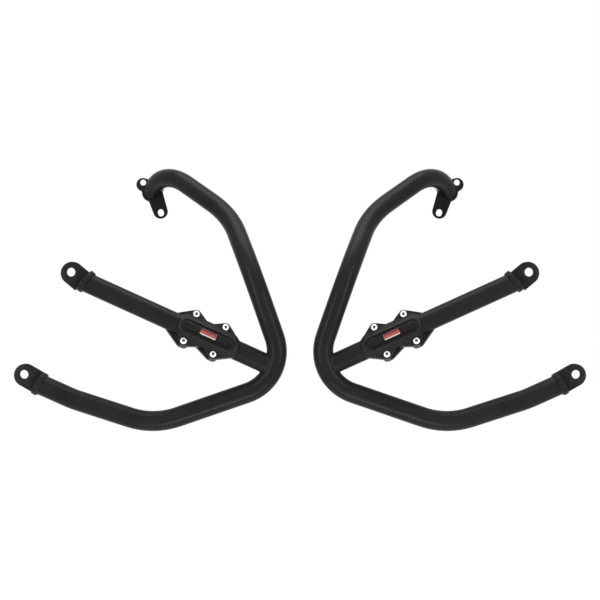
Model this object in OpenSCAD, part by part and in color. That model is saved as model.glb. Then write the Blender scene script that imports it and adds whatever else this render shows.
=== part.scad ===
// Pair of motorcycle crash bars, shown upright side by side with their outer faces forward.
// Each bar is one bent steel tube, welded to a straight brace, an upper bracket and two bolt tabs.
// A moulded slider is clamped round each brace by four screws.
//
// Frame: X runs across the pair and outboard is away from X = 0. Y runs from the outer face
// towards the motorcycle, and Z is up. Every hole that bolts to the motorcycle runs along Y.

/* [Tubes] */
// Outside diameter of the bent main tube
tube_d = 25.4; // [25.2:0.1:27]
// Outside diameter of the straight brace, a little under the main tube
brace_d = 25; // [22:0.1:25.2]
// Wall thickness of both tubes
tube_wall = 2.3; // [1.5:0.1:3.5]
// How far the bender draws in the tube's radius in each bend
bend_draw = 0.05; // [0.02:0.01:0.1]

/* [Main tube bends] */
// Depth of the outer plane that holds the knee, the lower loop, the brace and both lower tabs
outer_y = -74.5; // [-79:0.5:-70]
// Outboard distance of the tube's landing on the upper bracket
landing_x = 209.3; // [206:0.1:213]
// Height of the tube's landing on the upper bracket
landing_z = 147.9; // [145:0.1:151]
// Outboard distance of the hook bend above the upper bracket
hook_x = 193.5; // [190:0.5:196]
// Depth of the hook bend
hook_y = 53.5; // [51:0.5:56]
// Height of the hook bend
hook_z = 175.5; // [174:0.5:178]
// Centre-line radius of the hook bend
hook_r = 72; // [70:0.5:74]
// Outboard distance of the shoulder bend at the top of the long leg
shoulder_x = 92.5; // [86:0.5:98]
// Depth of the shoulder bend
shoulder_y = -9; // [-14:0.5:-4]
// Height of the shoulder bend
shoulder_z = 101.7; // [97:0.1:106]
// Centre-line radius of the shoulder bend
shoulder_r = 133; // [110:1:160]
// Outboard distance of the knee bend half way down the long leg
knee_x = 59; // [55:0.5:63]
// How far the corner of the knee bend stands proud of the outer plane
knee_proud = 5.5; // [0:0.5:8]
// Height of the knee bend
knee_z = 22; // [17:0.5:26]
// Centre-line radius of the knee bend
knee_r = 160; // [130:1:180]
// Outboard distance of the apex bend nearest the middle of the pair
apex_x = 14; // [13.5:0.5:20]
// Height of the apex bend
apex_z = -108.4; // [-113:0.1:-104]
// Centre-line radius of the apex bend
apex_r = 55; // [45:1:60]
// Outboard distance of the foot bend, the lowest one
foot_x = 183; // [170:1:195]
// Height of the foot bend
foot_z = -166.6; // [-172:0.1:-160]
// Centre-line radius of the foot bend
foot_r = 95; // [70:1:130]
// Outboard distance of the slight toe bend before the lower tab
toe_x = 284; // [270:1:292]
// Height of the toe bend
toe_z = -133.9; // [-138:0.1:-130]
// Centre-line radius of the toe bend
toe_r = 130; // [80:1:180]
// Outboard distance of the main tube's lower end
tip_x = 323.6; // [316:0.1:332]
// Height of the main tube's lower end
tip_z = -116.1; // [-120:0.1:-112]

/* [Brace] */
// Outboard distance of the brace's outer end
brace_x = 266; // [256:0.5:280]
// Height of the brace's outer end
brace_z = 11.6; // [5:0.2:18]
// Height at which the brace meets the apex bend, above the middle of that bend
root_up = 5; // [0:0.5:8]

/* [Collars and tabs] */
// Diameter of the collar disc that closes each tube end
collar_d = 30.4; // [30:0.2:36]
// Thickness of the collar disc
collar_t = 5.5; // [4:0.5:8]
// Thickness of the flat bolt tabs
tab_t = 5; // [4:0.5:6]
// Width of the bolt tabs across their round end
tab_w = 28.6; // [24:0.2:29]
// Bolt hole in the tabs, medium clearance for M10
tab_hole_d = 11; // [8.4:0.2:13]
// How far the hole is drilled beyond the centre of the round end
tab_hole_out = 2; // [0:0.1:3]
// Upward tilt of the middle collar and its tab from the axis of the brace
mid_tilt = 15.4; // [0:0.2:17]
// Length of the middle tab from its collar to the centre of its round end
mid_tab_len = 16.6; // [15:0.2:30]
// How far the middle tab is welded above the centre of its collar
mid_tab_up = -2.8; // [-3:0.2:3]
// Upward tilt of the lower collar and its tab from the axis of the tube
low_tilt = 6; // [0:0.2:12]
// Length of the lower tab from its collar to the centre of its round end
low_tab_len = 17.6; // [15:0.2:30]
// How far the lower tab is welded above the centre of its collar
low_tab_up = 0.6; // [-3:0.2:3]
// Leg of the fillet welds
weld_leg = 2.2; // [1.2:0.1:2.5]
// Gap that the bracket's weld leaves round the ear hole
weld_hole_gap = 1; // [0.6:0.1:2]

/* [Upper bracket] */
// Depth of the bracket's front face
bracket_y = 90.5; // [88:0.5:92]
// Thickness of the bracket plate
bracket_t = 4; // [3:0.5:6]
// Radius of the plate round the tube's landing
landing_r = 12; // [11:0.5:14]
// Outboard distance of the ear's round end from the tube's landing
ear_dx = 14.3; // [10:0.1:18]
// Height of the ear's round end above the tube's landing
ear_dz = 6.5; // [4:0.1:10]
// Radius of the ear
ear_r = 9.5; // [8.5:0.1:12]
// Diameter of the ear hole, clearance for M8
ear_hole_d = 8.5; // [6.6:0.1:9.5]
// How far the hole is drilled above the centre of the ear
ear_hole_up = 3; // [0:0.1:3]
// Inboard distance of the slot from the tube's landing
slot_dx = 11.1; // [8:0.1:16]
// Drop of the slot's middle below the tube's landing
slot_dz = 33.6; // [30:0.2:45]
// Width of the slot
slot_w = 8.6; // [6.6:0.1:9.6]
// Length of the slot from end to end
slot_len = 10.4; // [9.8:0.1:13]
// Half width of the plate's arm at its end
arm_r = 10.3; // [9.5:0.1:12]
// How far the centre of the arm's round end lies above the slot's middle
arm_end_up = 2; // [0:0.1:3]

/* [Slider halves] */
// Distance of the slider's middle from the brace's outer end
slider_pos = 161; // [130:1:165]
// Upward turn of the slider's face about the brace
slider_turn = 16; // [0:1:30]
// Gap between the two halves
split_gap = 1; // [0.6:0.1:2]
// Radial clearance of the moulded bore on the brace
bore_gap = 0.1; // [0.05:0.05:0.2]
// Wall of the moulded barrel over the brace
barrel_wall = 5.7; // [5:0.1:8]
// Length of the tapered ends of the barrel
barrel_taper = 9; // [6:0.5:12]
// Wall left at the tip of the tapered ends
barrel_lip = 1.6; // [1:0.1:2.5]
// Long end of the front half, inboard from the middle of its screws
half_long = 45; // [42:0.5:48]
// Short end of the front half, outboard from the middle of its screws
half_short = 35; // [33:0.5:38]
// Half width of the moulding across its ends
end_half_w = 10; // [7:0.5:12]
// Slant of both ends, as the lead of their upper corner
end_lead = 1.5; // [0:0.1:2]
// Half width of the moulding between its upper lugs
waist_up = 17; // [15:0.5:18]
// Half width of the moulding between its lower lugs
waist_low = 14.5; // [13:0.5:16]
// Thickness of each half's lugs from the split plane
lug_t = 9.5; // [8.5:0.5:12]
// Radius of the lugs round the screws
lug_r = 6; // [5.5:0.1:7]
// Half distance of the screws along the brace
screw_u = 20; // [18:0.5:22]
// Half distance of the screws across the brace
screw_v = 18.7; // [18.5:0.1:24]
// How far the rear half's lugs and ends run on outboard
rear_run = 4.5; // [0:0.5:6]

/* [Channel, pad and badge] */
// Length of the sunk channel in the front half
channel_len = 72; // [68:1:76]
// Width of the sunk channel
channel_w = 15.5; // [13:0.5:18]
// Floor of the channel above the brace
channel_floor = 2.6; // [2:0.1:3]
// Distance of the channel's middle inboard from the middle of the screws
channel_in = 4; // [0:0.5:6]
// Length of the raised pad in the channel
pad_len = 63; // [55:1:65]
// Width of the raised pad
pad_w = 9.6; // [8:0.2:11]
// Height of the pad's crown above the brace
pad_crown = 6.6; // [5:0.1:8]
// Length of the badge plate on the pad
badge_len = 21; // [14:0.5:24]
// Width of the badge plate
badge_w = 7.6; // [6:0.2:7.8]
// Radius of the badge plate's corners
badge_corner = 1.2; // [0.5:0.1:2]
// Thickness of the badge plate
badge_t = 0.8; // [0.5:0.1:1]
// Distance of the badge's middle inboard from the middle of the screws
badge_in = 5; // [0:0.5:10]

/* [Screws and nuts] */
// Thread diameter of the slider screws, M5
screw_d = 5; // [4:0.5:5]
// Radial clearance round the screws
screw_gap = 0.25; // [0.1:0.05:0.3]
// Diameter of the button head
head_d = 8.7; // [8:0.1:9.5]
// Height of the button head
head_h = 3; // [2.6:0.1:4]
// Height of the head's straight rim
head_rim = 1.2; // [0.8:0.1:2]
// Width across flats of the socket in the head
socket_af = 3; // [2.5:0.1:3.5]
// Depth of the socket
socket_deep = 1.6; // [1:0.1:2]
// Width across flats of the nuts
nut_af = 8; // [7:0.1:8]
// Height of the nuts
nut_h = 4; // [3:0.1:4.7]
// Clearance of the nut pockets
nut_gap = 0.15; // [0.1:0.05:0.25]

/* [Hidden] */
$fn = 64;
// How far a cutting shape runs past what it cuts
past = 2;
// How far a straight flank runs into the round end that it meets, so that they cross cleanly
flank_in = 0.02;
tube_r = tube_d / 2;
brace_r = brace_d / 2;

landing = [landing_x, bracket_y, landing_z];
hook = [hook_x, hook_y, hook_z];
shoulder = [shoulder_x, shoulder_y, shoulder_z];
knee = [knee_x, outer_y - knee_proud, knee_z];
apex = [apex_x, outer_y, apex_z];
foot = [foot_x, outer_y, foot_z];
toe = [toe_x, outer_y, toe_z];
tip = [tip_x, outer_y, tip_z];
// The tube runs on through the bracket's face and the lower collar's, which then mitre it.
hook_start = landing + unit(landing - hook) * tube_d;
tip_past = tip + unit(tip - toe) * tube_r;
main_path = [hook_start, hook, shoulder, knee, apex, foot, toe, tip_past];
main_radii = [0, hook_r, shoulder_r, knee_r, apex_r, foot_r, toe_r, 0];
APEX = 4;

brace_end = [brace_x, outer_y, brace_z];
apex_middle = bend_middle(main_path, main_radii, APEX);
brace_root = [apex_middle[0], outer_y, apex_middle[2] + root_up];
brace_tilt = rise(brace_end - brace_root);
tip_tilt = rise(tip - toe);
// The brace runs on through the middle collar's face in the same way.
brace_start = brace_end + unit(brace_end - brace_root) * tube_r;

barrel_r = brace_r + barrel_wall;
floor_w = brace_r + channel_floor;
crown_r = brace_r + pad_crown;
screw_len = 2 * lug_t - split_gap;

SIDES = ["left", "right"];
PIECES = [
    "main_tube", "brace_tube", "upper_bracket", "mid_collar", "mid_tab", "lower_collar",
    "lower_tab", "welds", "slider_front", "slider_rear", "slider_pad", "badge",
    "slider_screws", "slider_nuts"
];

// Unit vector along v
function unit(v) = v / norm(v);

// Angle between two directions
function turn(a, b) = acos(unit(a) * unit(b));

// Slope of a direction in the XZ plane
function rise(v) = atan2(v[2], v[0]);

// Direction of leg i of a path, from point i to the next
function leg_dir(pts, i) = unit(pts[i + 1] - pts[i]);

// Angle of the bend at point i
function bend_angle(pts, i) = turn(leg_dir(pts, i - 1), leg_dir(pts, i));

// Axis of the bend at point i
function bend_axis(pts, i) = unit(cross(leg_dir(pts, i - 1), leg_dir(pts, i)));

// Length that the bend at point i takes off each of its two legs
function setback(pts, radii, i) = radii[i] == 0 ? 0 : radii[i] * tan(bend_angle(pts, i) / 2);

// Straight length left on leg i
function leg_len(pts, radii, i) =
    norm(pts[i + 1] - pts[i]) - setback(pts, radii, i) - setback(pts, radii, i + 1);

// Roll about leg i from the bend before it to the bend after it
function roll(pts, i) =
    let (a = bend_axis(pts, i), b = bend_axis(pts, i + 1))
    atan2(cross(a, b) * leg_dir(pts, i), a * b);

// Middle of the arc of the bend at point i
function bend_middle(pts, radii, i) =
    pts[i] + unit(leg_dir(pts, i) - leg_dir(pts, i - 1))
    * radii[i] * (1 / cos(bend_angle(pts, i) / 2) - 1);

// Vector v of a plane turned by a
function turned(v, a) = [v[0] * cos(a) - v[1] * sin(a), v[0] * sin(a) + v[1] * cos(a)];

// Point where the line from p touches a circle, on the side that s gives
function touch(p, centre, r, s) =
    centre + r * turned(unit(p - centre), s * acos(r / norm(p - centre)));

// Corner of a flank that runs from p into the lug at centre
function flank(p, centre, s) = touch(p, centre, lug_r - flank_in, s);

// Places its children in a frame given by an origin and three unit vectors
module framed(o, x, y, z) {
    multmatrix([
        [x[0], y[0], z[0], o[0]],
        [x[1], y[1], z[1], o[1]],
        [x[2], y[2], z[2], o[2]],
        [0, 0, 0, 1]
    ])
    children();
}

// Straight tube from a to b with the section given as its child. It doesn't run along Y.
module straight(a, b) {
    z = unit(b - a);
    x = unit(cross([0, 1, 0], z));
    framed(a, x, cross(z, x), z)
    linear_extrude(norm(b - a))
    children();
}

// Bend about the Y axis with the section as child, drawn in a little: it starts in the plane
// Z = 0, at -r on X, and two planes through the axis cut it out of the full ring
module bend(r, angle) {
    reach = r + tube_d;
    intersection() {
        rotate([90, 90, 0])
        rotate_extrude()
        translate([r, 0])
        scale(1 - bend_draw / tube_r)
        children();
        translate([-reach, -tube_d, 0])
        cube([2 * reach, 2 * tube_d, reach]);
        rotate([0, angle, 0])
        translate([-reach, -tube_d, -reach])
        cube([2 * reach, 2 * tube_d, reach]);
    }
}

// Legs i to last of a path with the bends between them, in the frame of leg i: Z runs along
// the leg and its next bend turns it towards X, as a tube bender's table gives it
module bent(pts, radii, i, last) {
    length = leg_len(pts, radii, i);
    linear_extrude(length)
    children();
    if (i < last) {
        r = radii[i + 1];
        angle = bend_angle(pts, i + 1);
        translate([r, 0, length]) {
            bend(r, angle)
            children();
            rotate([0, angle, 0])
            translate([-r, 0, 0])
            rotate([0, 0, i + 1 < last ? roll(pts, i + 1) : 0])
            bent(pts, radii, i + 1, last)
            children();
        }
    }
}

// Part of a path from leg first to leg last, in its place, with the section as child
module run(pts, radii, first, last) {
    z = leg_dir(pts, first);
    y = bend_axis(pts, first + 1);
    framed(pts[first] + setback(pts, radii, first) * z, cross(y, z), y, z)
    bent(pts, radii, first, last)
    children();
}

// Ring section of a tube
module ring(r) {
    difference() {
        circle(r);
        circle(r - tube_wall);
    }
}

// Outline round two circles and their common tangents
module link(a, ra, b, rb) {
    d = unit(b - a);
    open = acos((ra - rb) / norm(b - a));
    translate(a)
    circle(ra);
    translate(b)
    circle(rb);
    polygon([
        a + (ra - flank_in) * turned(d, -open),
        b + (rb - flank_in) * turned(d, -open),
        b + (rb - flank_in) * turned(d, open),
        a + (ra - flank_in) * turned(d, open)
    ]);
}

// Frame at a tube end: +X runs on outward along the tube, Y stays
module end_frame(p, tilt) {
    translate(p)
    rotate([0, -tilt, 0])
    children();
}

// Plate that stands in an XZ plane, centred on its own thickness
module plate(t) {
    rotate([90, 0, 0])
    translate([0, 0, -t / 2])
    linear_extrude(t)
    children();
}

// Disc that closes a tube end
module collar() {
    rotate([0, 90, 0])
    cylinder(d = collar_d, h = collar_t);
}

// Flat bolt tab with a round end, cut flush on the face of its collar
module tab(len, up) {
    translate([collar_t, 0, up])
    plate(tab_t)
    difference() {
        link([-tab_w, 0], tab_w / 2, [len, 0], tab_w / 2);
        translate([len + tab_hole_out, 0])
        circle(d = tab_hole_d);
        translate([-2 * tab_w, -tab_w])
        square(2 * tab_w);
    }
}

// Block that mitres a tube on the back of its collar
module mitre() {
    translate([0, -tube_d, -tube_d])
    cube(2 * tube_d);
}

// Fillet weld on the back of a collar, before the tube of radius r is taken out
module ring_weld(r) {
    rotate([0, -90, 0])
    cylinder(r1 = r + weld_leg, r2 = r + weld_leg / 4, h = weld_leg);
}

// Fillet welds along both faces of a tab at its collar
module tab_welds(up) {
    long = tab_w - 2 * abs(up) - 2 * weld_leg;
    for (side = [-1, 1]) {
        translate([collar_t, side * tab_t / 2, up / 2 - long / 2])
        linear_extrude(long)
        intersection() {
            circle(weld_leg);
            translate([0, side < 0 ? -weld_leg : 0])
            square(weld_leg);
        }
    }
}

// Outline of the upper bracket, seen from the front with the tube's landing at its origin.
// Its ear hole is wider all round by hole_gap.
module bracket_outline(hole_gap) {
    ear = [ear_dx, ear_dz];
    ear_hole = [ear_dx, ear_dz + ear_hole_up];
    slot = [-slot_dx, -slot_dz];
    down = unit(slot);
    difference() {
        union() {
            link([0, 0], landing_r, ear, ear_r);
            link([0, 0], landing_r, slot - arm_end_up * down, arm_r);
        }
        translate(ear_hole)
        circle(d = ear_hole_d + 2 * hole_gap);
        link(
            slot - (slot_len - slot_w) / 2 * down, slot_w / 2,
            slot + (slot_len - slot_w) / 2 * down, slot_w / 2
        );
    }
}

// The bracket's outline, extruded from its front face by t
module bracket_plate(t, hole_gap = 0) {
    translate([landing_x, bracket_y + t, landing_z])
    rotate([90, 0, 0])
    linear_extrude(t)
    bracket_outline(hole_gap);
}

// Frame of the slider: X outboard along the brace, Y across it, Z out of the slider's face
module slider_frame() {
    end_frame(brace_end, brace_tilt)
    translate([-slider_pos, 0, 0])
    rotate([90 - slider_turn, 0, 0])
    children();
}

// Puts its children at the four screws
module at_screws() {
    for (u = [-screw_u, screw_u], v = [-screw_v, screw_v]) {
        translate([u, v, 0])
        children();
    }
}

// Outline of a slider half: four lugs joined by straight flanks to its ends and waist. Its
// lugs and ends run on by m past the screws.
module half_outline(m) {
    out_up = [half_short + end_lead + m, end_half_w];
    out_low = [half_short - end_lead + m, -end_half_w];
    in_up = [-half_long + end_lead + m, end_half_w];
    in_low = [-half_long - end_lead + m, -end_half_w];
    waist_a = [screw_u / 4 + m, waist_up];
    waist_b = [-screw_u / 4 + m, waist_up];
    waist_c = [-screw_u / 4 + m, -waist_low];
    lug_a = [screw_u + m, screw_v];
    lug_b = [-screw_u + m, screw_v];
    lug_c = [-screw_u + m, -screw_v];
    lug_d = [screw_u + m, -screw_v];
    polygon([
        out_low, out_up,
        flank(out_up, lug_a, 1), flank(waist_a, lug_a, -1),
        waist_a, waist_b,
        flank(waist_b, lug_b, 1), flank(in_up, lug_b, -1),
        in_up, in_low,
        flank(in_low, lug_c, 1), flank(waist_c, lug_c, -1),
        waist_c,
        flank(waist_c, lug_d, 1), flank(out_low, lug_d, -1)
    ]);
    for (u = [-screw_u, screw_u], v = [-screw_v, screw_v]) {
        translate([u, v])
        circle(lug_r);
        translate([u + m, v])
        circle(lug_r);
        if (m != 0) {
            translate([min(u, u + m), v - lug_r])
            square([abs(m), 2 * lug_r]);
        }
    }
}

// Barrel round the brace with tapered ends, along X
module barrel(m) {
    low = -half_long - end_lead + m;
    high = half_short + end_lead + m;
    tip_r = brace_r + barrel_lip;
    rotate([0, 90, 0])
    rotate_extrude()
    polygon([
        [0, low], [tip_r, low], [barrel_r, low + barrel_taper],
        [barrel_r, high - barrel_taper], [tip_r, high], [0, high]
    ]);
}

// One moulded half on the +Z side of the split plane, without its channel or nut pockets
module half(m) {
    span = half_long + half_short + 2 * (past + abs(m));
    start = -half_long - past - abs(m);
    difference() {
        intersection() {
            translate([0, 0, split_gap / 2])
            linear_extrude(2 * barrel_r)
            half_outline(m);
            union() {
                barrel(m);
                translate([start, -screw_v - lug_r - past, 0])
                cube([span, 2 * (screw_v + lug_r + past), lug_t]);
            }
        }
        translate([start, 0, 0])
        rotate([0, 90, 0])
        cylinder(r = brace_r + bore_gap, h = span);
        at_screws()
        cylinder(r = screw_d / 2 + screw_gap, h = lug_t + past);
        at_screws()
        translate([0, 0, lug_t])
        cylinder(r = head_d / 2 + screw_gap, h = barrel_r);
    }
}

// Strip with round ends along X, centred on the middle of the channel
module channel_strip(len, w) {
    reach = (len - w) / 2;
    link([-channel_in - reach, 0], w / 2, [-channel_in + reach, 0], w / 2);
}

// Cylinder along the brace's axis
module brace_round(r) {
    translate([-half_long, 0, 0])
    rotate([0, 90, 0])
    cylinder(r = r, h = half_long + half_short);
}

// Hexagonal prism of a width across flats
module hex(af, h) {
    cylinder(r = af / sqrt(3), h = h, $fn = 6);
}

module main_tube() {
    color("#1b1b1b")
    difference() {
        run(main_path, main_radii, 0, len(main_path) - 2)
        ring(tube_r);
        translate([landing_x - 2 * tube_d, bracket_y, landing_z - 2 * tube_d])
        cube([4 * tube_d, 2 * tube_d, 4 * tube_d]);
        end_frame(tip, tip_tilt + low_tilt)
        mitre();
    }
}

module brace_tube() {
    color("#1b1b1b")
    difference() {
        straight(brace_start, brace_root)
        ring(brace_r);
        run(main_path, main_radii, APEX - 1, APEX)
        circle(tube_r);
        end_frame(brace_end, brace_tilt + mid_tilt)
        mitre();
    }
}

module upper_bracket() {
    color("#1e1e1e")
    bracket_plate(bracket_t);
}

module mid_collar() {
    color("#202020")
    end_frame(brace_end, brace_tilt + mid_tilt)
    collar();
}

module mid_tab() {
    color("#1e1e1e")
    end_frame(brace_end, brace_tilt + mid_tilt)
    tab(mid_tab_len, mid_tab_up);
}

module lower_collar() {
    color("#202020")
    end_frame(tip, tip_tilt + low_tilt)
    collar();
}

module lower_tab() {
    color("#1e1e1e")
    end_frame(tip, tip_tilt + low_tilt)
    tab(low_tab_len, low_tab_up);
}

// Fillet welds at the bracket, the collars and the tabs
module welds() {
    color("#181818") {
        difference() {
            intersection() {
                run(main_path, main_radii, 0, 1)
                circle(tube_r + weld_leg);
                translate([0, -weld_leg, 0])
                bracket_plate(weld_leg, weld_hole_gap);
            }
            run(main_path, main_radii, 0, 1)
            circle(tube_r);
        }
        difference() {
            end_frame(brace_end, brace_tilt + mid_tilt)
            ring_weld(brace_r);
            straight(brace_start, brace_root)
            circle(brace_r);
        }
        difference() {
            end_frame(tip, tip_tilt + low_tilt)
            ring_weld(tube_r);
            straight(tip_past, toe)
            circle(tube_r);
        }
        end_frame(brace_end, brace_tilt + mid_tilt)
        tab_welds(mid_tab_up);
        end_frame(tip, tip_tilt + low_tilt)
        tab_welds(low_tab_up);
    }
}

module slider_front() {
    color("#141414")
    slider_frame()
    difference() {
        half(0);
        translate([0, 0, floor_w])
        linear_extrude(barrel_r)
        channel_strip(channel_len, channel_w);
    }
}

// The rear half is the same moulding turned round, with nut pockets in place of the channel
module slider_rear() {
    color("#141414")
    slider_frame()
    rotate([0, 180, 0])
    difference() {
        half(-rear_run);
        at_screws()
        translate([0, 0, lug_t - nut_h])
        hex(nut_af + 2 * nut_gap, nut_h + past);
    }
}

module slider_pad() {
    color("#0c0c0c")
    slider_frame()
    intersection() {
        translate([0, 0, floor_w])
        linear_extrude(crown_r)
        channel_strip(pad_len, pad_w);
        brace_round(crown_r);
    }
}

module badge() {
    reach = [badge_len / 2 - badge_corner, badge_w / 2 - badge_corner];
    color("#c4161c")
    slider_frame()
    intersection() {
        difference() {
            brace_round(crown_r + badge_t);
            brace_round(crown_r);
        }
        translate([-badge_in, 0, floor_w])
        linear_extrude(barrel_r)
        union() {
            square([2 * reach[0], badge_w], center = true);
            square([badge_len, 2 * reach[1]], center = true);
            for (u = [-reach[0], reach[0]], v = [-reach[1], reach[1]]) {
                translate([u, v])
                circle(badge_corner);
            }
        }
    }
}

// Button head screws, seated on the front lugs and through both halves
module slider_screws() {
    color("#c9c9c7")
    slider_frame()
    at_screws()
    difference() {
        rotate_extrude()
        polygon([
            [0, lug_t - screw_len], [screw_d / 2, lug_t - screw_len], [screw_d / 2, lug_t],
            [head_d / 2, lug_t], [head_d / 2, lug_t + head_rim],
            [head_d / 3, lug_t + head_h], [0, lug_t + head_h]
        ]);
        translate([0, 0, lug_t + head_h - socket_deep])
        hex(socket_af, socket_deep + past);
    }
}

// Hex nuts, seated in the pockets of the rear half
module slider_nuts() {
    color("#8a8a88")
    slider_frame()
    rotate([0, 180, 0])
    at_screws()
    translate([0, 0, lug_t - nut_h])
    difference() {
        hex(nut_af, nut_h);
        translate([0, 0, -past])
        cylinder(r = screw_d / 2 + screw_gap / 2, h = nut_h + 2 * past);
    }
}

// The right bar is drawn as it is, and the left bar is its mirror image
module left() {
    mirror([1, 0, 0])
    children();
}

left() main_tube();  // left_main_tube
left() brace_tube();  // left_brace_tube
left() upper_bracket();  // left_upper_bracket
left() mid_collar();  // left_mid_collar
left() mid_tab();  // left_mid_tab
left() lower_collar();  // left_lower_collar
left() lower_tab();  // left_lower_tab
left() welds();  // left_welds
left() slider_front();  // left_slider_front
left() slider_rear();  // left_slider_rear
left() slider_pad();  // left_slider_pad
left() badge();  // left_badge
left() slider_screws();  // left_slider_screws
left() slider_nuts();  // left_slider_nuts
main_tube();  // right_main_tube
brace_tube();  // right_brace_tube
upper_bracket();  // right_upper_bracket
mid_collar();  // right_mid_collar
mid_tab();  // right_mid_tab
lower_collar();  // right_lower_collar
lower_tab();  // right_lower_tab
welds();  // right_welds
slider_front();  // right_slider_front
slider_rear();  // right_slider_rear
slider_pad();  // right_slider_pad
badge();  // right_badge
slider_screws();  // right_slider_screws
slider_nuts();  // right_slider_nuts
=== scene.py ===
"""Looks of a pair of motorcycle crash bars, laid out as an add-on and run as a script.

The plates and the slider's parts are eased copies of each side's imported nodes. The screws and the
weld beads are made for the right bar and mirrored for the left one. Sizes are in millimetres of the
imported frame: X runs across the pair, Y from the outer faces towards the motorcycle, and Z is up.
"""

import math
from contextlib import contextmanager

import bpy
from bpy.props import FloatProperty, FloatVectorProperty, PointerProperty
from bpy.types import Operator, Panel, PropertyGroup
from mathutils import Matrix, Vector


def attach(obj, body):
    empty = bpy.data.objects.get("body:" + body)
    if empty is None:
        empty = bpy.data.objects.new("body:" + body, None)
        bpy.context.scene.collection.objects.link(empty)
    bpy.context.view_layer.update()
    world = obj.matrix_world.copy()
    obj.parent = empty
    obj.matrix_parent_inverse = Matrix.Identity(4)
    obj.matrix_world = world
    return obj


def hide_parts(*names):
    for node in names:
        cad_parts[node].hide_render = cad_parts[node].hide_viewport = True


bl_info = {
    "name": "Crash Bar Looks",
    "version": (1, 0, 0),
    "blender": (4, 5, 0),
    "location": "3D View > Sidebar > Crash Bars",
    "description": "Finish, weld beads and moulded slider of a pair of motorcycle crash bars",
    "category": "Object",
}

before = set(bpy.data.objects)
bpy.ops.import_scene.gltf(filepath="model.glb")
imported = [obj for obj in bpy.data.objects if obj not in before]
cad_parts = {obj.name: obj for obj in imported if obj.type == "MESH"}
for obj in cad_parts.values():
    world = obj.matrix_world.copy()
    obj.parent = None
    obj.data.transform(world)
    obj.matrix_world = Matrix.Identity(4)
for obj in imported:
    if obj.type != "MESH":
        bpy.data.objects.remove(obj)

# A millimetre in the scene's metres
MM = 0.001
SIDES = ("left", "right")
BACKWARD = Vector((0, 1, 0))
UPWARD = Vector((0, 0, 1))

# Places on the right bar, in millimetres
OUTER_Y = -74.5
BRACE_ROOT = Vector((34.5, OUTER_Y, -93.4))
BRACE_END = Vector((266, OUTER_Y, 11.6))
TOE = Vector((284, OUTER_Y, -133.9))
TIP = Vector((323.6, OUTER_Y, -116.1))
HOOK = Vector((193.5, 53.5, 175.5))
LANDING = Vector((209.3, 90.5, 147.9))
EAR_HOLE = Vector((223.6, 92.5, 157.4))

# Sizes of the solids, in millimetres
EAR_HOLE_R = 4.25
TUBE_R = 12.7
BRACE_R = 12.5
COLLAR_T = 5.5
TAB_W = 28.6
TAB_T = 5
LUG_T = 9.5

# Tilts of the collars, shifts of the tabs along them, and the slider's distance from the brace's
# outer end and its turn round the brace
MID_TILT = math.radians(15.4)
LOW_TILT = math.radians(6)
MID_TAB_UP = -2.8
LOW_TAB_UP = 0.6
SLIDER_POS = 161
SLIDER_TURN = math.radians(16)

# Screws, in millimetres: their places on the slider, then the head, the shank and the socket
SCREW_U = 20
SCREW_V = 18.7
HEAD_R = 4.35
HEAD_H = 3.0
HEAD_RIM = 1.0
HEAD_CHAMFER = 0.15
SHANK_R = 2.5
SHANK_CHAMFER = 0.6
# The shank ends 1 mm short of the rear half's face
SHANK_END = 1 - 2 * LUG_T
SOCKET_R = 1.73
SOCKET_DEEP = 1.6
# How far outside the socket's corners the lathed outline and the crown's curve start
FLAT_OUT = 0.25
CROWN_OUT = 0.45
CROWN_STEPS = 7
LATHE_STEPS = 48
# Turn from one screw to the next, so that no two sockets stand alike
SCREW_TWIST = math.radians(23)
# Margin of the test that tells a socket's faces from the head's
SOCKET_SLACK = 0.1
# How far from the screw's axis the outline ends, before its points are merged there
AXIS_GAP = 0.01

# Weld beads, in millimetres: how far a ring's line lies outside its tube, and how far the
# saddle's lies inside the brace's surface
RING_OUT = 0.3
SADDLE_IN = 1.0
# Room kept free of weld round the ear hole
HOLE_GAP = 1
# What a tab's bead leaves bare of the tab's width, and its radius against the other beads'
TAB_BARE = 4
TAB_BEAD = 0.9
RING_STEPS = 144
TAB_STEPS = 40
# Points of a bead's line from one ripple to the next, and the ripple's height against the radius
RIPPLE = 6
RIPPLE_RISE = 0.07

# Rounds of smoothing on the mouldings, and the edge radii of the pad and the badge
MOULD_ROUNDS = 3
PAD_EDGE = 0.6
BADGE_EDGE = 0.2

# The part of a noise's range over which gloss and tint change
NOISE_LOW = 0.3
NOISE_HIGH = 0.7
DUST_COLOR = (0.32, 0.30, 0.27)
RUBBED_COAT = (0.12, 0.118, 0.112)
RUBBED_NYLON = (0.1, 0.1, 0.1)
COAT_DUST = 0.01
# Name, lowest and highest roughness, and how far the edges are rubbed
COATS = {
    "tube": ("powder_coat_on_tube", 0.26, 0.31, 0.0),
    "coat": ("powder_coat_on_plate", 0.28, 0.36, 0.15),
    "weld": ("powder_coat_over_weld", 0.28, 0.36, 0.3),
}
# Name, colour, and lowest and highest roughness
STEELS = {
    "screw": ("bright_plated_steel", (0.80, 0.80, 0.79), 0.3, 0.42),
    # The socket's dark grey is painted shade in the hex recess, not a duller plating
    "socket": ("socket_painted_shade", (0.16, 0.16, 0.16), 0.5, 0.62),
    "nut": ("dull_plated_steel", (0.5, 0.5, 0.48), 0.35, 0.5),
}
# Heights on the badge between which rose turns to the darker painted shade of the trough's upper
# wall, and rose to white, in millimetres
TO_PAINTED_SHADE = (0.6, 1.8)
TO_WHITE = (-2.1, -2.6)

# Height and width of the floor, in metres
FLOOR_Z = -1.2
FLOOR_SIZE = 24
# Glow that makes the lit floor white to the camera and in reflections, and leaves it its shadows
FLOOR_GLOW = 0.95
# Strength of the world as a light, and as the white that the camera and reflections see
WORLD_LIGHT = 0.05
WORLD_WHITE = 1.0
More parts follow.
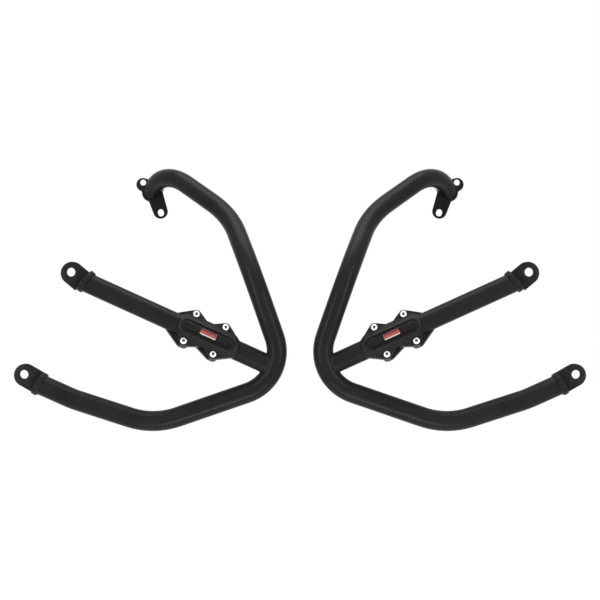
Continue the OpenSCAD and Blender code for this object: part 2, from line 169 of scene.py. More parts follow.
# Name, place in metres, width and height in metres, and power in watts
LAMPS = [
    ("top_softbox", (0.0, -0.1, 1.3), (1.4, 0.8), 18),
    ("strip_left", (-1.1, -1.2, 0.2), (0.25, 1.5), 13),
    ("strip_right", (1.1, -1.2, 0.2), (0.25, 1.5), 13),
    ("low_front", (0.0, -1.05, -0.95), (0.7, 0.2), 8),
]
# Camera: its place in metres, focal length and image width in pixels, and sensor width
CAMERA_PLACE = (0, -1.2745, -0.010)
FOCAL_PX = 958.8
IMAGE_PX = 600
SENSOR_MM = 36

# Materials by short name, filled in by the first step
MADE = {}


# Places

def frame_at(origin, along, across):
    """Matrix of a frame at origin: X along, Y across as nearly as it can be."""
    x = along.normalized()
    z = x.cross(across).normalized()
    y = z.cross(x)
    return Matrix.Translation(origin) @ Matrix((x, y, z)).transposed().to_4x4()


def end_frame(end, start, tilt):
    """Frame at a tube's end, X outward, tilted upward like the collar there."""
    along = (end - start).normalized()
    lean = Matrix.Rotation(-tilt, 4, "Y").to_3x3()
    return frame_at(end, lean @ along, BACKWARD)


def slider_frame():
    """Frame of the right slider: X outboard along the brace, Z out of the slider's face."""
    along = (BRACE_END - BRACE_ROOT).normalized()
    level = frame_at(BRACE_END - along * SLIDER_POS, along, BACKWARD)
    return level @ Matrix.Rotation(math.radians(90) - SLIDER_TURN, 4, "X")


def slider_place(side):
    """Frame of the slider of one side."""
    flip = Matrix.Diagonal((-1, 1, 1, 1))
    return SLIDER if side == "right" else flip @ SLIDER @ flip


MID_END = end_frame(BRACE_END, BRACE_ROOT, MID_TILT)
LOW_END = end_frame(TIP, TOE, LOW_TILT)
SLIDER = slider_frame()


# Mesh helpers

def deselect():
    """Leaves no object selected."""
    if bpy.context.object and bpy.context.object.mode != "OBJECT":
        bpy.ops.object.mode_set(mode="OBJECT")
    bpy.ops.object.select_all(action="DESELECT")


def pick(piece):
    """Makes a piece the only selected and the active one."""
    deselect()
    piece.select_set(True)
    bpy.context.view_layer.objects.active = piece


@contextmanager
def editing(action=None):
    """Edit mode on the active mesh, with all or none of it selected where an action says so."""
    bpy.ops.object.mode_set(mode="EDIT")
    if action:
        bpy.ops.mesh.select_all(action=action)
    yield
    bpy.ops.object.mode_set(mode="OBJECT")


def select_only(elements, wanted):
    """Selects those points or edges of the active mesh that are wanted, and nothing else."""
    with editing("DESELECT"):
        pass
    for element in elements:
        element.select = wanted(element)


def remove_points(piece, unwanted):
    """Deletes the points of the active piece that are unwanted."""
    with editing():
        bpy.ops.mesh.select_mode(type="VERT")
    select_only(piece.data.vertices, unwanted)
    with editing():
        bpy.ops.mesh.delete(type="VERT")


def merge_points(threshold):
    """Merges the selected points that lie closer together than a threshold."""
    bpy.ops.mesh.remove_doubles(threshold=threshold)


def rename(piece, name):
    """Names a piece and its mesh alike."""
    piece.name = name
    piece.data.name = name
    return piece


def copy_of(source):
    """A copy of an object with a mesh of its own."""
    piece = source.copy()
    piece.data = source.data.copy()
    bpy.context.scene.collection.objects.link(piece)
    return piece


def paint(piece, material):
    """Makes a material the only one of a piece."""
    piece.data.materials.clear()
    piece.data.materials.append(material)


def settle(piece, name, place):
    """Names a new piece and puts its place, given in millimetres, in its mesh."""
    pick(piece)
    bpy.context.view_layer.update()
    scale = Matrix.Diagonal((MM, MM, MM, 1))
    piece.matrix_world = scale @ place @ piece.matrix_world
    bpy.ops.object.transform_apply(location=True, rotation=True, scale=True)
    return rename(piece, name)


def apply_modifier(piece, kind, **values):
    """Adds a modifier with its values and applies it."""
    pick(piece)
    modifier = piece.modifiers.new(kind.lower(), kind)
    for key, value in values.items():
        setattr(modifier, key, value)
    bpy.ops.object.modifier_apply(modifier=modifier.name)


def smooth(piece, degrees):
    """Smooth shading, with edges sharper than that kept."""
    pick(piece)
    bpy.ops.object.shade_smooth_by_angle(angle=math.radians(degrees))


def node_copy(node, name):
    """A merged copy of a CAD node, as a piece of its own."""
    piece = rename(copy_of(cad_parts[node]), name)
    for key in list(piece.keys()):
        del piece[key]
    piece.parent = None
    pick(piece)
    with editing("SELECT"):
        merge_points(0.002 * MM)
    return piece


def mirrored(piece, name):
    """The mirror image of a right piece, for the left bar."""
    pick(piece)
    bpy.ops.object.duplicate()
    twin = rename(bpy.context.object, name)
    with editing("SELECT"):
        bpy.ops.transform.resize(value=(-1, 1, 1), center_override=(0, 0, 0))
        bpy.ops.mesh.normals_make_consistent(inside=False)
    return twin


def joined(pieces, name):
    """Several pieces as one object."""
    deselect()
    for piece in pieces:
        piece.select_set(True)
    bpy.context.view_layer.objects.active = pieces[0]
    bpy.ops.object.join()
    return rename(bpy.context.object, name)


def hand_over(piece, material, slot, *nodes):
    """Gives a finished piece its material and the body that it rides on; the slot is not used."""
    paint(piece, material)
    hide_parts(*nodes)
    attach(piece, "root")


def softened(node, width, segments=3):
    """A copy of a hard-edged node with its edges rounded, as coating and moulding leave them."""
    piece = node_copy(node, f"{node}_rounded")
    with editing("SELECT"):
        bpy.ops.mesh.dissolve_limited(angle_limit=math.radians(0.5))
    apply_modifier(
        piece, "BEVEL", width=width * MM, segments=segments, limit_method="ANGLE",
        angle_limit=math.radians(32), miter_outer="MITER_ARC")
    smooth(piece, degrees=35)
    return piece


def moulded(node, voxel):
    """A copy of a moulded node, remeshed finely and eased so that every edge has a radius."""
    piece = node_copy(node, f"{node}_moulding")
    apply_modifier(piece, "REMESH", mode="VOXEL", voxel_size=voxel * MM)
    apply_modifier(piece, "SMOOTH", factor=0.5, iterations=MOULD_ROUNDS)
    apply_modifier(piece, "DECIMATE", decimate_type="DISSOLVE", angle_limit=math.radians(0.6))
    apply_modifier(piece, "TRIANGULATE")
    smooth(piece, degrees=60)
    return piece


# Screws

def screw_profile():
    """Radius and height of the points of a screw's outline, from the head's middle to the tip."""
    start = SOCKET_R + CROWN_OUT
    points = [(SOCKET_R + FLAT_OUT, HEAD_H)]
    for i in range(CROWN_STEPS + 1):
        angle = math.radians(90) * (1 - i / CROWN_STEPS)
        points.append((
            start + (HEAD_R - start) * math.cos(angle),
            HEAD_RIM + (HEAD_H - HEAD_RIM) * math.sin(angle)))
    return points + [
        (HEAD_R, HEAD_CHAMFER), (HEAD_R - HEAD_CHAMFER, 0), (SHANK_R, 0),
        (SHANK_R, SHANK_END + SHANK_CHAMFER), (SHANK_R - SHANK_CHAMFER, SHANK_END),
        (AXIS_GAP, SHANK_END)]


def lathed_screw():
    """A button head screw at the origin, with a six-sided socket sunk in its head."""
    profile = screw_profile()
    deselect()
    bpy.ops.mesh.primitive_circle_add(vertices=len(profile), radius=1, fill_type="NOTHING")
    screw = bpy.context.object
    for vertex, (r, h) in zip(screw.data.vertices, profile):
        vertex.co = (r, 0, h)
    # The circle's closing edge isn't part of the outline
    closing = {0, len(profile) - 1}
    select_only(screw.data.edges, lambda edge: set(edge.vertices) == closing)
    with editing():
        bpy.ops.mesh.select_mode(type="EDGE")
        bpy.ops.mesh.delete(type="EDGE_FACE")
        bpy.ops.mesh.select_all(action="SELECT")
        bpy.ops.mesh.spin(
            steps=LATHE_STEPS, angle=2 * math.pi, center=(0, 0, 0), axis=(0, 0, 1))
        bpy.ops.mesh.select_all(action="SELECT")
        merge_points(2 * AXIS_GAP)
        bpy.ops.mesh.select_mode(type="VERT")
        bpy.ops.mesh.select_non_manifold(extend=False)
        bpy.ops.mesh.edge_face_add()
        bpy.ops.mesh.select_all(action="SELECT")
        bpy.ops.mesh.normals_make_consistent(inside=False)
    bpy.ops.mesh.primitive_cylinder_add(
        vertices=6, radius=SOCKET_R, depth=2 * SOCKET_DEEP, location=(0, 0, HEAD_H))
    cutter = bpy.context.object
    apply_modifier(screw, "BOOLEAN", operation="DIFFERENCE", object=cutter, solver="EXACT")
    bpy.data.objects.remove(cutter)
    smooth(screw, degrees=40)
    return screw


def button_screws(name):
    """The four screws of the right slider as one piece."""
    model = lathed_screw()
    screws = []
    for u in (-SCREW_U, SCREW_U):
        for v in (-SCREW_V, SCREW_V):
            turn = Matrix.Rotation(SCREW_TWIST * (u + 2 * v) / SCREW_U, 4, "Z")
            place = SLIDER @ Matrix.Translation((u, v, LUG_T)) @ turn
            screws.append(settle(copy_of(model), name, place))
    bpy.data.objects.remove(model)
    return joined(screws, name)


def shade_sockets(piece, place, material):
    """Gives the walls and floors of the screws' sockets a darker steel than the heads, as painted
    shade in the recesses.
    """
    piece.data.materials.append(material)
    back = place.inverted()
    radius = SOCKET_R - SOCKET_SLACK
    floor = LUG_T + HEAD_H - SOCKET_DEEP - SOCKET_SLACK
    for polygon in piece.data.polygons:
        x, y, z = back @ (polygon.center / MM)
        inside = math.hypot(abs(x) - SCREW_U, abs(y) - SCREW_V) < radius
        polygon.material_index = int(inside and z > floor)


# Weld beads

def ring_line(place, radius):
    """A ring in the YZ plane of a frame."""
    deselect()
    bpy.ops.mesh.primitive_circle_add(
        vertices=RING_STEPS, radius=radius, fill_type="NOTHING",
        rotation=(0, math.radians(90), 0))
    return settle(bpy.context.object, "ring", place)


def drop_on_node(ring, along, target):
    """Slides each point of a ring along an axis until it meets a target node."""
    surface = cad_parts[target]
    far = 200 * MM
    for vertex in ring.data.vertices:
        hit, place, _, _ = surface.ray_cast(vertex.co, along, distance=far)
        if not hit:
            raise RuntimeError(f"the ring doesn't meet {target}")
        vertex.co = place


def drop_on_plane(ring, along, point, normal):
    """Slides each point of a ring along an axis to a plane through a point, in millimetres."""
    for vertex in ring.data.vertices:
        rest = (point * MM - vertex.co).dot(normal)
        vertex.co += along * (rest / along.dot(normal))


def open_ring(ring, spot, room):
    """Takes out a ring's points that lie closer than room to an axis along Y, in millimetres."""
    def near(vertex):
        off = vertex.co / MM - spot
        return math.hypot(off.x, off.z) < room

    pick(ring)
    remove_points(ring, near)


def bead(line, radius):
    """A rippled bead along the edges of a mesh line: one ripple for each dip of the torch."""
    pick(line)
    bpy.ops.object.convert(target="CURVE")
    curve = line.data
    curve.bevel_depth = radius * MM
    curve.bevel_resolution = 3
    curve.use_fill_caps = True
    for spline in curve.splines:
        for i, point in enumerate(spline.points):
            point.radius = 1 + RIPPLE_RISE * math.cos(2 * math.pi * i / RIPPLE)
            point.tilt = 0
    bpy.ops.object.convert(target="MESH")
    piece = bpy.context.object
    with editing("SELECT"):
        merge_points(0.01 * MM)
        bpy.ops.mesh.normals_make_consistent(inside=False)
    smooth(piece, degrees=70)
    return piece


def saddle_bead(radius):
    """The bead where the brace meets the main tube."""
    inward = (BRACE_ROOT - BRACE_END).normalized()
    # The ring starts outside the main tube, and is moved along the brace on to it
    place = frame_at(BRACE_ROOT - 2 * TUBE_R * inward, inward, BACKWARD)
    saddle = ring_line(place, BRACE_R - SADDLE_IN)
    drop_on_node(saddle, inward, "right_main_tube")
    return bead(saddle, radius)


def ring_bead(start, end, face, tube_r, radius):
    """The bead round a tube's end, on a plate that faces along a normal."""
    outward = (end - start).normalized()
    # The ring starts short of the end, and is moved along the tube on to the plate
    ring = ring_line(frame_at(end - TUBE_R * outward, outward, UPWARD), tube_r + RING_OUT)
    drop_on_plane(ring, outward, end, face)
    # The bracket's bead leaves the ear hole free
    if end == LANDING:
        open_ring(ring, EAR_HOLE, EAR_HOLE_R + HOLE_GAP + radius)
    return bead(ring, radius)


def tab_bead(place, up, face, radius):
    """A straight bead in the corner between one face of a tab and its collar."""
    length = TAB_W - 2 * abs(up) - TAB_BARE
    deselect()
    bpy.ops.mesh.primitive_grid_add(x_subdivisions=1, y_subdivisions=TAB_STEPS, size=1)
    strip = bpy.context.object
    remove_points(strip, lambda vertex: vertex.co.x > 0)
    for vertex in strip.data.vertices:
        vertex.co = (COLLAR_T, face * TAB_T / 2, up / 2 + vertex.co.y * length)
    return bead(settle(strip, "tab_bead", place), radius * TAB_BEAD)


def weld_beads(name, radius):
    """All the beads of the right bar as one piece."""
    beads = [saddle_bead(radius)]
    for start, end, face, tube_r in (
        (BRACE_ROOT, BRACE_END, MID_END.to_3x3().col[0], BRACE_R),
        (TOE, TIP, LOW_END.to_3x3().col[0], TUBE_R),
        (HOOK, LANDING, BACKWARD, TUBE_R),
    ):
        beads.append(ring_bead(start, end, face, tube_r, radius))
    for place, up in ((MID_END, MID_TAB_UP), (LOW_END, LOW_TAB_UP)):
        for face in (-1, 1):
            beads.append(tab_bead(place, up, face, radius))
    return joined(beads, name)


# Shader nodes

def link(tree, start, end):
    """Joins two sockets of a node tree."""
    tree.links.new(start, end)


def feed(tree, value, socket):
    """Gives a socket a number, or a link where the value is a socket itself."""
    if isinstance(value, (int, float)):
        socket.default_value = value
    else:
        link(tree, value, socket)


def noise(tree, vector, scale, detail, rough=0.5):
    """A noise texture; scale may be a number or a socket."""
    node = tree.nodes.new("ShaderNodeTexNoise")
    node.inputs["Detail"].default_value = detail
    node.inputs["Roughness"].default_value = rough
    link(tree, vector, node.inputs["Vector"])
    feed(tree, scale, node.inputs["Scale"])
    return node.outputs["Fac"]


def remap(tree, value, low, high, to_low=0.0, to_high=1.0):
    """A clamped linear map of a value."""
    node = tree.nodes.new("ShaderNodeMapRange")
    node.inputs["From Min"].default_value = low
    node.inputs["From Max"].default_value = high
    feed(tree, to_low, node.inputs["To Min"])
    feed(tree, to_high, node.inputs["To Max"])
    link(tree, value, node.inputs["Value"])
    return node.outputs["Result"]


def math_node(tree, operation, first, second):
    """A math node of two values or sockets."""
    node = tree.nodes.new("ShaderNodeMath")
    node.operation = operation
    for socket, value in zip(node.inputs, (first, second)):
        feed(tree, value, socket)
    return node.outputs[0]


def mix_color(tree, factor, first, second):
    """A colour mixed from two colours or sockets."""
    node = tree.nodes.new("ShaderNodeMix")
    node.data_type = "RGBA"
    link(tree, factor, node.inputs["Factor"])
    # The node's colour inputs and output have the same labels as its number ones
    for index, value in ((6, first), (7, second)):
        if hasattr(value, "links"):
            link(tree, value, node.inputs[index])
        else:
            node.inputs[index].default_value = (*value, 1)
    return node.outputs[2]


def mottled(tree, factor, color, dark, light=1.0):
    """A colour that changes between two strengths of itself."""
    first, second = (
        tuple(min(1.0, channel * strength) for channel in color) for strength in (dark, light))
    return mix_color(tree, factor, first, second)


# Shader groups

def new_group(name, inputs, outputs):
    """An empty shader node group with named sockets; it always takes a vector."""
    group = bpy.data.node_groups.new(name, "ShaderNodeTree")
    group.interface.new_socket("Vector", in_out="INPUT", socket_type="NodeSocketVector")
    for label, value in inputs.items():
        socket = group.interface.new_socket(label, in_out="INPUT", socket_type="NodeSocketFloat")
        socket.default_value = value
    for label in outputs:
        group.interface.new_socket(label, in_out="OUTPUT", socket_type="NodeSocketFloat")
    start = group.nodes.new("NodeGroupInput")
    end = group.nodes.new("NodeGroupOutput")
    return group, start.outputs, end.inputs


def feed_gloss(group, start, end, pattern):
    """Feeds a group's roughness, which follows a noise from its low to its high value."""
    gloss = remap(group, pattern, NOISE_LOW, NOISE_HIGH, start["Low Roughness"],
                  start["High Roughness"])
    link(group, gloss, end["Roughness"])


def feed_mask(group, start, end, first, second):
    """Feeds a group's mask: where both patterns are strong, times its amount."""
    both = math_node(group, "MULTIPLY", first, second)
    link(group, math_node(group, "MULTIPLY", both, start["Amount"]), end["Mask"])


def build_orange_peel():
    """The soft ripple of powder coat, with fine grit in it and slow changes of gloss."""
    group, start, end = new_group(
        "orange_peel",
        {"Ripple Scale": 900.0, "Grit Scale": 6000.0, "Low Roughness": 0.4, "High Roughness": 0.5},
        ("Height", "Roughness", "Tint"))
    place = start["Vector"]
    ripple = noise(group, place, start["Ripple Scale"], detail=2)
    grit = noise(group, place, start["Grit Scale"], detail=1)
    slow = noise(group, place, scale=22.0, detail=3, rough=0.6)
    weighted = math_node(group, "MULTIPLY", grit, 0.25)
    link(group, math_node(group, "ADD", ripple, weighted), end["Height"])
    feed_gloss(group, start, end, slow)
    link(group, remap(group, slow, NOISE_LOW, NOISE_HIGH), end["Tint"])
    return group


def build_edge_rub():
    """A mask of edges that hands and tools have rubbed, broken up by noise."""
    group, start, end = new_group("edge_rub", {"Amount": 0.5, "Break Scale": 260.0}, ("Mask",))
    geometry = group.nodes.new("ShaderNodeNewGeometry")
    ridge = remap(group, geometry.outputs["Pointiness"], low=0.52, high=0.6)
    patch = noise(group, start["Vector"], start["Break Scale"], detail=4)
    feed_mask(group, start, end, ridge, remap(group, patch, low=0.4, high=0.65))
    return group


def build_dust():
    """A thin film of dust that gathers on what faces up, in soft patches."""
    group, start, end = new_group("settled_dust", {"Amount": 0.1, "Patch Scale": 40.0}, ("Mask",))
    geometry = group.nodes.new("ShaderNodeNewGeometry")
    split = group.nodes.new("ShaderNodeSeparateXYZ")
    link(group, geometry.outputs["Normal"], split.inputs[0])
    facing = remap(group, split.outputs["Z"], low=0.1, high=1.0)
    patch = noise(group, start["Vector"], start["Patch Scale"], detail=5, rough=0.6)
    feed_mask(group, start, end, facing, remap(group, patch, low=0.35, high=0.75, to_low=0.2))
    return group


def build_mould_grain():
    """The spark-eroded grain of a moulded nylon part."""
    group, start, end = new_group(
        "mould_grain", {"Grain Scale": 2600.0, "Low Roughness": 0.5, "High Roughness": 0.62},
        ("Height", "Roughness"))
    place = start["Vector"]
    cells = group.nodes.new("ShaderNodeTexVoronoi")
    link(group, place, cells.inputs["Vector"])
    link(group, start["Grain Scale"], cells.inputs["Scale"])
    fine = noise(group, place, scale=5200.0, detail=2)
    link(group, math_node(group, "ADD", cells.outputs["Distance"], fine), end["Height"])
    feed_gloss(group, start, end, noise(group, place, scale=60.0, detail=3))
    return group


def build_turned_steel():
    """Fine turning marks and a mottled plating on small steel fasteners."""
    group, start, end = new_group(
        "turned_steel", {"Line Scale": 4000.0, "Low Roughness": 0.22, "High Roughness": 0.4},
        ("Height", "Roughness", "Tint"))
    lines = noise(group, start["Vector"], start["Line Scale"], detail=2)
    blotch = noise(group, start["Vector"], scale=500.0, detail=3)
    link(group, lines, end["Height"])
    feed_gloss(group, start, end, blotch)
    link(group, blotch, end["Tint"])
    return group


# Materials

def new_material(name, metallic=0.0, specular=0.5):
    """A material, its node tree and its object coordinates."""
    material = bpy.data.materials.new(name)
    material.use_nodes = True
    tree = material.node_tree
    shader = tree.nodes["Principled BSDF"]
    shader.inputs["Metallic"].default_value = metallic
    shader.inputs["Specular IOR Level"].default_value = specular
    return material, tree, tree.nodes.new("ShaderNodeTexCoord").outputs["Object"]


def add_group(tree, group, vector, **values):
    """Places a shader group in a material with its own values."""
    node = tree.nodes.new("ShaderNodeGroup")
    node.node_tree = group
    link(tree, vector, node.inputs["Vector"])
    for label, value in values.items():
        node.inputs[label.replace("_", " ").title()].default_value = value
    return node


def add_wear(tree, groups, place, base, rubbed, rub, dust):
    """A base colour with rubbed edges and a film of dust over it."""
    worn = add_group(tree, groups["rub"], place, amount=rub)
    film = add_group(tree, groups["dust"], place, amount=dust)
    base = mix_color(tree, worn.outputs["Mask"], base, rubbed)
    return mix_color(tree, film.outputs["Mask"], base, DUST_COLOR)


def completed(material, base, surface, strength, distance):
    """Joins up a material's colour, roughness and bump; distance is in millimetres."""
    tree = material.node_tree
    shader = tree.nodes["Principled BSDF"]
    link(tree, base, shader.inputs["Base Color"])
    link(tree, surface.outputs["Roughness"], shader.inputs["Roughness"])
    bump = tree.nodes.new("ShaderNodeBump")
    bump.inputs["Strength"].default_value = strength
    bump.inputs["Distance"].default_value = distance * MM
    link(tree, surface.outputs["Height"], bump.inputs["Height"])
    link(tree, bump.outputs["Normal"], shader.inputs["Normal"])
    return material


def coat_material(name, groups, color, specular, low, high, rub):
    """Satin black powder coat."""
    material, tree, place = new_material(name, specular=specular)
    peel = add_group(tree, groups["peel"], place, low_roughness=low, high_roughness=high)
    base = mottled(tree, peel.outputs["Tint"], color, dark=0.85, light=1.2)
    base = add_wear(tree, groups, place, base, RUBBED_COAT, rub, COAT_DUST)
    return completed(material, base, peel, strength=0.12, distance=0.02)


def moulding_material(name, groups, color):
    """Finely grained black nylon."""
    material, tree, place = new_material(name, specular=0.08)
    grain = add_group(tree, groups["grain"], place, low_roughness=0.34, high_roughness=0.44)
    base = add_wear(tree, groups, place, color, RUBBED_NYLON, rub=0.35, dust=0.03)
    return completed(material, base, grain, strength=0.3, distance=0.03)


def steel_material(name, groups, color, low, high):
    """Plated steel of the fasteners."""
    material, tree, place = new_material(name, metallic=1.0)
    turned = add_group(tree, groups["steel"], place, low_roughness=low, high_roughness=high)
    base = mottled(tree, turned.outputs["Tint"], color, dark=0.9)
    return completed(material, base, turned, strength=0.15, distance=0.01)


def badge_material(name, groups, place_in, painted_shade_red, rose, white):
    """The badge's colours: rose with a pale lower edge, darkened on top by a painted shadow of the
    trough's upper wall.
    """
    material, tree, place = new_material(name)
    turn = tree.nodes.new("ShaderNodeMapping")
    turn.vector_type = "TEXTURE"
    turn.inputs["Location"].default_value = place_in.to_translation() * MM
    turn.inputs["Rotation"].default_value = place_in.to_euler()
    link(tree, place, turn.inputs["Vector"])
    split = tree.nodes.new("ShaderNodeSeparateXYZ")
    link(tree, turn.outputs["Vector"], split.inputs[0])
    base = rose
    # The upper band is painted shade, the trough wall's shadow over the rose badge; the pale lower
    # band is the badge's own print
    for (low, high), color in ((TO_PAINTED_SHADE, painted_shade_red), (TO_WHITE, white)):
        field = remap(tree, split.outputs["Y"], low * MM, high * MM)
        base = mix_color(tree, field, base, color)
    peel = add_group(tree, groups["peel"], place, low_roughness=0.22, high_roughness=0.3)
    tree.nodes["Principled BSDF"].inputs["Coat Weight"].default_value = 0.3
    return completed(material, base, peel, strength=0.06, distance=0.01)


def gloss_material(name, groups, color):
    """The slider pad's smooth gloss black."""
    material, tree, place = new_material(name, specular=0.2)
    peel = add_group(tree, groups["peel"], place, low_roughness=0.2, high_roughness=0.28)
    base = mottled(tree, peel.outputs["Tint"], color, dark=0.8, light=1.2)
    return completed(material, base, peel, strength=0.08, distance=0.01)


# Stage

def seen_ray(tree):
    """1 for rays from the camera, from a gloss surface or through glass."""
    path = tree.nodes.new("ShaderNodeLightPath")
    some = math_node(tree, "MAXIMUM", path.outputs["Is Camera Ray"], path.outputs["Is Glossy Ray"])
    return math_node(tree, "MAXIMUM", some, path.outputs["Is Transmission Ray"])


def build_floor():
    """A plain white floor under the bars, which keeps their shadow."""
    deselect()
    bpy.ops.mesh.primitive_plane_add(size=FLOOR_SIZE, location=(0, 0, FLOOR_Z))
    floor = bpy.context.object
    floor.name = "floor"
    material = bpy.data.materials.new("white_floor")
    material.use_nodes = True
    tree = material.node_tree
    shader = tree.nodes["Principled BSDF"]
    shader.inputs["Base Color"].default_value = (0.9, 0.9, 0.9, 1)
    shader.inputs["Roughness"].default_value = 0.9
    shader.inputs["Specular IOR Level"].default_value = 0.1
    shader.inputs["Emission Color"].default_value = (1, 1, 1, 1)
    glow = math_node(tree, "MULTIPLY", seen_ray(tree), FLOOR_GLOW)
    link(tree, glow, shader.inputs["Emission Strength"])
    paint(floor, material)


def build_world():
    """A white surround for the camera and reflections, and a weak soft light for the rest."""
    world = bpy.data.worlds.new("studio")
    bpy.context.scene.world = world
    world.use_nodes = True
    tree = world.node_tree
    back = tree.nodes["Background"]
    back.inputs["Color"].default_value = (1, 1, 1, 1)
    strength = remap(tree, seen_ray(tree), 0.0, 1.0, WORLD_LIGHT, WORLD_WHITE)
    link(tree, strength, back.inputs["Strength"])


def add_lamp(name, place, size, watts):
    """A soft rectangular lamp that faces the middle of the pair."""
    data = bpy.data.lights.new(name, "AREA")
    data.shape = "RECTANGLE"
    data.size, data.size_y = size
    data.energy = watts
    lamp = bpy.data.objects.new(name, data)
    lamp.location = place
    lamp.rotation_euler = (-place).to_track_quat("-Z", "Y").to_euler()
    bpy.context.scene.collection.objects.link(lamp)


def build_camera():
    """A camera square on to the pair, at the photograph's distance and angle."""
    data = bpy.data.cameras.new("camera")
    data.sensor_width = SENSOR_MM
    data.lens = FOCAL_PX / IMAGE_PX * SENSOR_MM
    camera = bpy.data.objects.new("camera", data)
    camera.location = CAMERA_PLACE
    camera.rotation_euler = (math.radians(90), 0, 0)
    bpy.context.scene.collection.objects.link(camera)
    bpy.context.scene.camera = camera


# Settings

def color_setting(name, description, default):
    """A colour of the finish."""
    return FloatVectorProperty(
        name=name, description=description, subtype="COLOR", default=default, min=0, max=1)


class CrashBarFinish(PropertyGroup):
    """Colours and reflection of the coating, the mouldings and the badge, and the painted shade on
    the badge's upper part.
    """

    coat_color: color_setting(
        "Coat Colour", "Colour of the powder coat", (0.0165, 0.0152, 0.0135))
    coat_specular: FloatProperty(
        name="Coat Reflection", description="Reflection level of the powder coat",
        default=0.06, min=0, max=1, subtype="FACTOR")
    slider_color: color_setting(
        "Slider Colour", "Colour of the moulded slider", (0.017, 0.0165, 0.0155))
    # Painted shade: the badge's dark upper field stands in for the trough wall's shadow, not for a
    # colour of the plate
    badge_painted_shade: color_setting(
        "Badge Painted Shade", "Upper field of the badge plate", (0.11, 0.008, 0.010))
    badge_rose: color_setting(
        "Badge Rose", "Middle field of the badge plate", (0.34, 0.045, 0.04))
    badge_white: color_setting(
        "Badge White", "Lower edge of the badge plate", (0.56, 0.50, 0.48))


class CrashBarSizes(PropertyGroup):
    """Sizes that the dressing adds to the solids."""

    plate_edge: FloatProperty(
        name="Plate Edge", description="Edge radius of the coated plates, in millimetres",
        default=0.7, min=0.1, max=1.5)
    bead_radius: FloatProperty(
        name="Bead Radius", description="Radius of the weld beads, in millimetres",
        default=1.7, min=0.8, max=2.5)
    mould_voxel: FloatProperty(
        name="Mould Detail", description="Mesh size of the moulded halves, in millimetres",
        default=0.55, min=0.3, max=1.5)


# Steps

class CRASHBAR_OT_materials(Operator):
    """Builds the shader groups and every material, and gives the tubes and the nuts theirs"""

    bl_idname = "crashbar.materials"
    bl_label = "Materials"

    def execute(self, context):
        look = context.scene.crashbar_finish
        groups = {
            "peel": build_orange_peel(), "rub": build_edge_rub(), "dust": build_dust(),
            "grain": build_mould_grain(), "steel": build_turned_steel(),
        }
        for key, (name, low, high, rub) in COATS.items():
            MADE[key] = coat_material(
                name, groups, tuple(look.coat_color), look.coat_specular, low, high, rub)
        MADE["mould"] = moulding_material("grained_black_nylon", groups, tuple(look.slider_color))
        MADE["pad"] = gloss_material("gloss_black_pad", groups, (0.004, 0.004, 0.004))
        for key, (name, color, low, high) in STEELS.items():
            MADE[key] = steel_material(name, groups, color, low, high)
        for side in SIDES:
            # Each badge's material paints the trough wall's shadow on the badge's upper part
            MADE[f"{side}_badge"] = badge_material(
                f"{side}_badge_print_and_painted_shade", groups, slider_place(side), tuple(look.badge_painted_shade),
                tuple(look.badge_rose), tuple(look.badge_white))
            for node, key in (
                ("main_tube", "tube"), ("brace_tube", "tube"), ("slider_nuts", "nut"),
            ):
                paint(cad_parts[f"{side}_{node}"], MADE[key])
        return {"FINISHED"}


class CRASHBAR_OT_plates(Operator):
    """Rounds the edges of the bracket, the collars and the tabs"""

    bl_idname = "crashbar.plates"
    bl_label = "Bracket, Collars and Tabs"

    def execute(self, context):
        edge = context.scene.crashbar_sizes.plate_edge
        for side in SIDES:
            for plate in ("upper_bracket", "mid_collar", "mid_tab", "lower_collar", "lower_tab"):
                node = f"{side}_{plate}"
                hand_over(softened(node, edge), MADE["coat"], "powder_coat", node)
        return {"FINISHED"}


class CRASHBAR_OT_slider(Operator):
    """Makes the slider's two moulded halves, its pad and its badge plate"""

    bl_idname = "crashbar.slider"
    bl_label = "Slider"

    def execute(self, context):
        voxel = context.scene.crashbar_sizes.mould_voxel
        for side in SIDES:
            for half in ("slider_front", "slider_rear"):
                node = f"{side}_{half}"
                hand_over(moulded(node, voxel), MADE["mould"], "moulded_slider", node)
            node = f"{side}_slider_pad"
            hand_over(softened(node, PAD_EDGE), MADE["pad"], "gloss_pad", node)
            node = f"{side}_badge"
            plate = softened(node, BADGE_EDGE, segments=2)
            hand_over(plate, MADE[f"{side}_badge"], "badge_plate", node)
        return {"FINISHED"}


class CRASHBAR_OT_screws(Operator):
    """Makes the button head screws with their hex sockets"""

    bl_idname = "crashbar.screws"
    bl_label = "Screws"

    def execute(self, context):
        right = button_screws("right_button_screws")
        left = mirrored(right, "left_button_screws")
        for side, piece in (("right", right), ("left", left)):
            hand_over(piece, MADE["screw"], "screw_steel", f"{side}_slider_screws")
            shade_sockets(piece, slider_place(side), MADE["socket"])
        return {"FINISHED"}


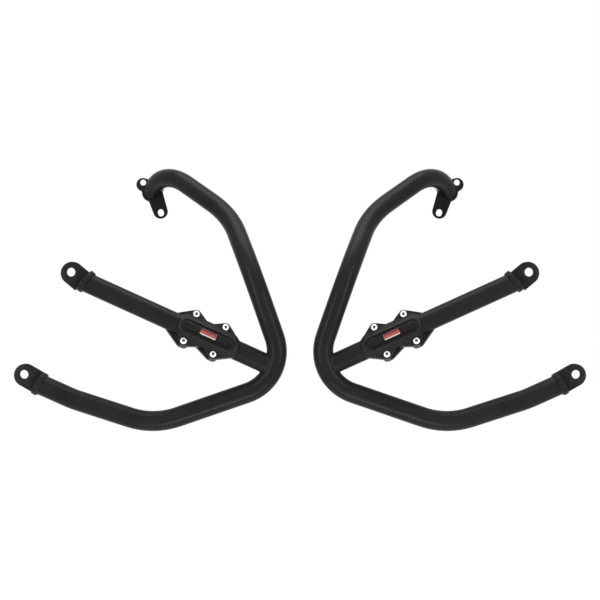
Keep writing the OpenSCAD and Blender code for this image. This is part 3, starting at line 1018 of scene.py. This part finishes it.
class CRASHBAR_OT_welds(Operator):
    """Lays the rippled weld beads at the bracket, the collars, the tabs and the brace"""

    bl_idname = "crashbar.welds"
    bl_label = "Weld Beads"

    def execute(self, context):
        right = weld_beads("right_weld_beads", context.scene.crashbar_sizes.bead_radius)
        left = mirrored(right, "left_weld_beads")
        for side, piece in (("right", right), ("left", left)):
            hand_over(piece, MADE["weld"], "powder_coat", f"{side}_welds")
        return {"FINISHED"}


class CRASHBAR_OT_stage(Operator):
    """Sets the white floor, the soft lamps, the world and the camera"""

    bl_idname = "crashbar.stage"
    bl_label = "Stage"

    def execute(self, context):
        build_floor()
        build_world()
        for name, place, size, watts in LAMPS:
            add_lamp(name, Vector(place), size, watts)
        build_camera()
        context.scene.view_settings.view_transform = "Standard"
        return {"FINISHED"}


class CRASHBAR_PT_panel(Panel):
    """The sizes, the finish and the steps, in the order in which they are run."""

    bl_label = "Crash Bars"
    bl_idname = "CRASHBAR_PT_panel"
    bl_space_type = "VIEW_3D"
    bl_region_type = "UI"
    bl_category = "Crash Bars"

    def draw(self, context):
        for group in (context.scene.crashbar_sizes, context.scene.crashbar_finish):
            for name in group.bl_rna.properties.keys():
                if name not in ("rna_type", "name"):
                    self.layout.prop(group, name)
        for step in STEPS:
            self.layout.operator(step.bl_idname)


STEPS = (
    CRASHBAR_OT_materials, CRASHBAR_OT_plates, CRASHBAR_OT_slider, CRASHBAR_OT_screws,
    CRASHBAR_OT_welds, CRASHBAR_OT_stage,
)
CLASSES = (CrashBarFinish, CrashBarSizes, *STEPS, CRASHBAR_PT_panel)


def register():
    """Registers the classes and hangs the settings on the scene."""
    for cls in CLASSES:
        bpy.utils.register_class(cls)
    bpy.types.Scene.crashbar_finish = PointerProperty(type=CrashBarFinish)
    bpy.types.Scene.crashbar_sizes = PointerProperty(type=CrashBarSizes)


def unregister():
    """Takes the settings and the classes away again."""
    del bpy.types.Scene.crashbar_finish
    del bpy.types.Scene.crashbar_sizes
    for cls in reversed(CLASSES):
        bpy.utils.unregister_class(cls)


def main():
    """Runs every step in order."""
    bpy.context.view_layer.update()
    register()
    bpy.ops.crashbar.materials()
    bpy.ops.crashbar.plates()
    bpy.ops.crashbar.slider()
    bpy.ops.crashbar.screws()
    bpy.ops.crashbar.welds()
    bpy.ops.crashbar.stage()


if __name__ == "__main__":
    main()
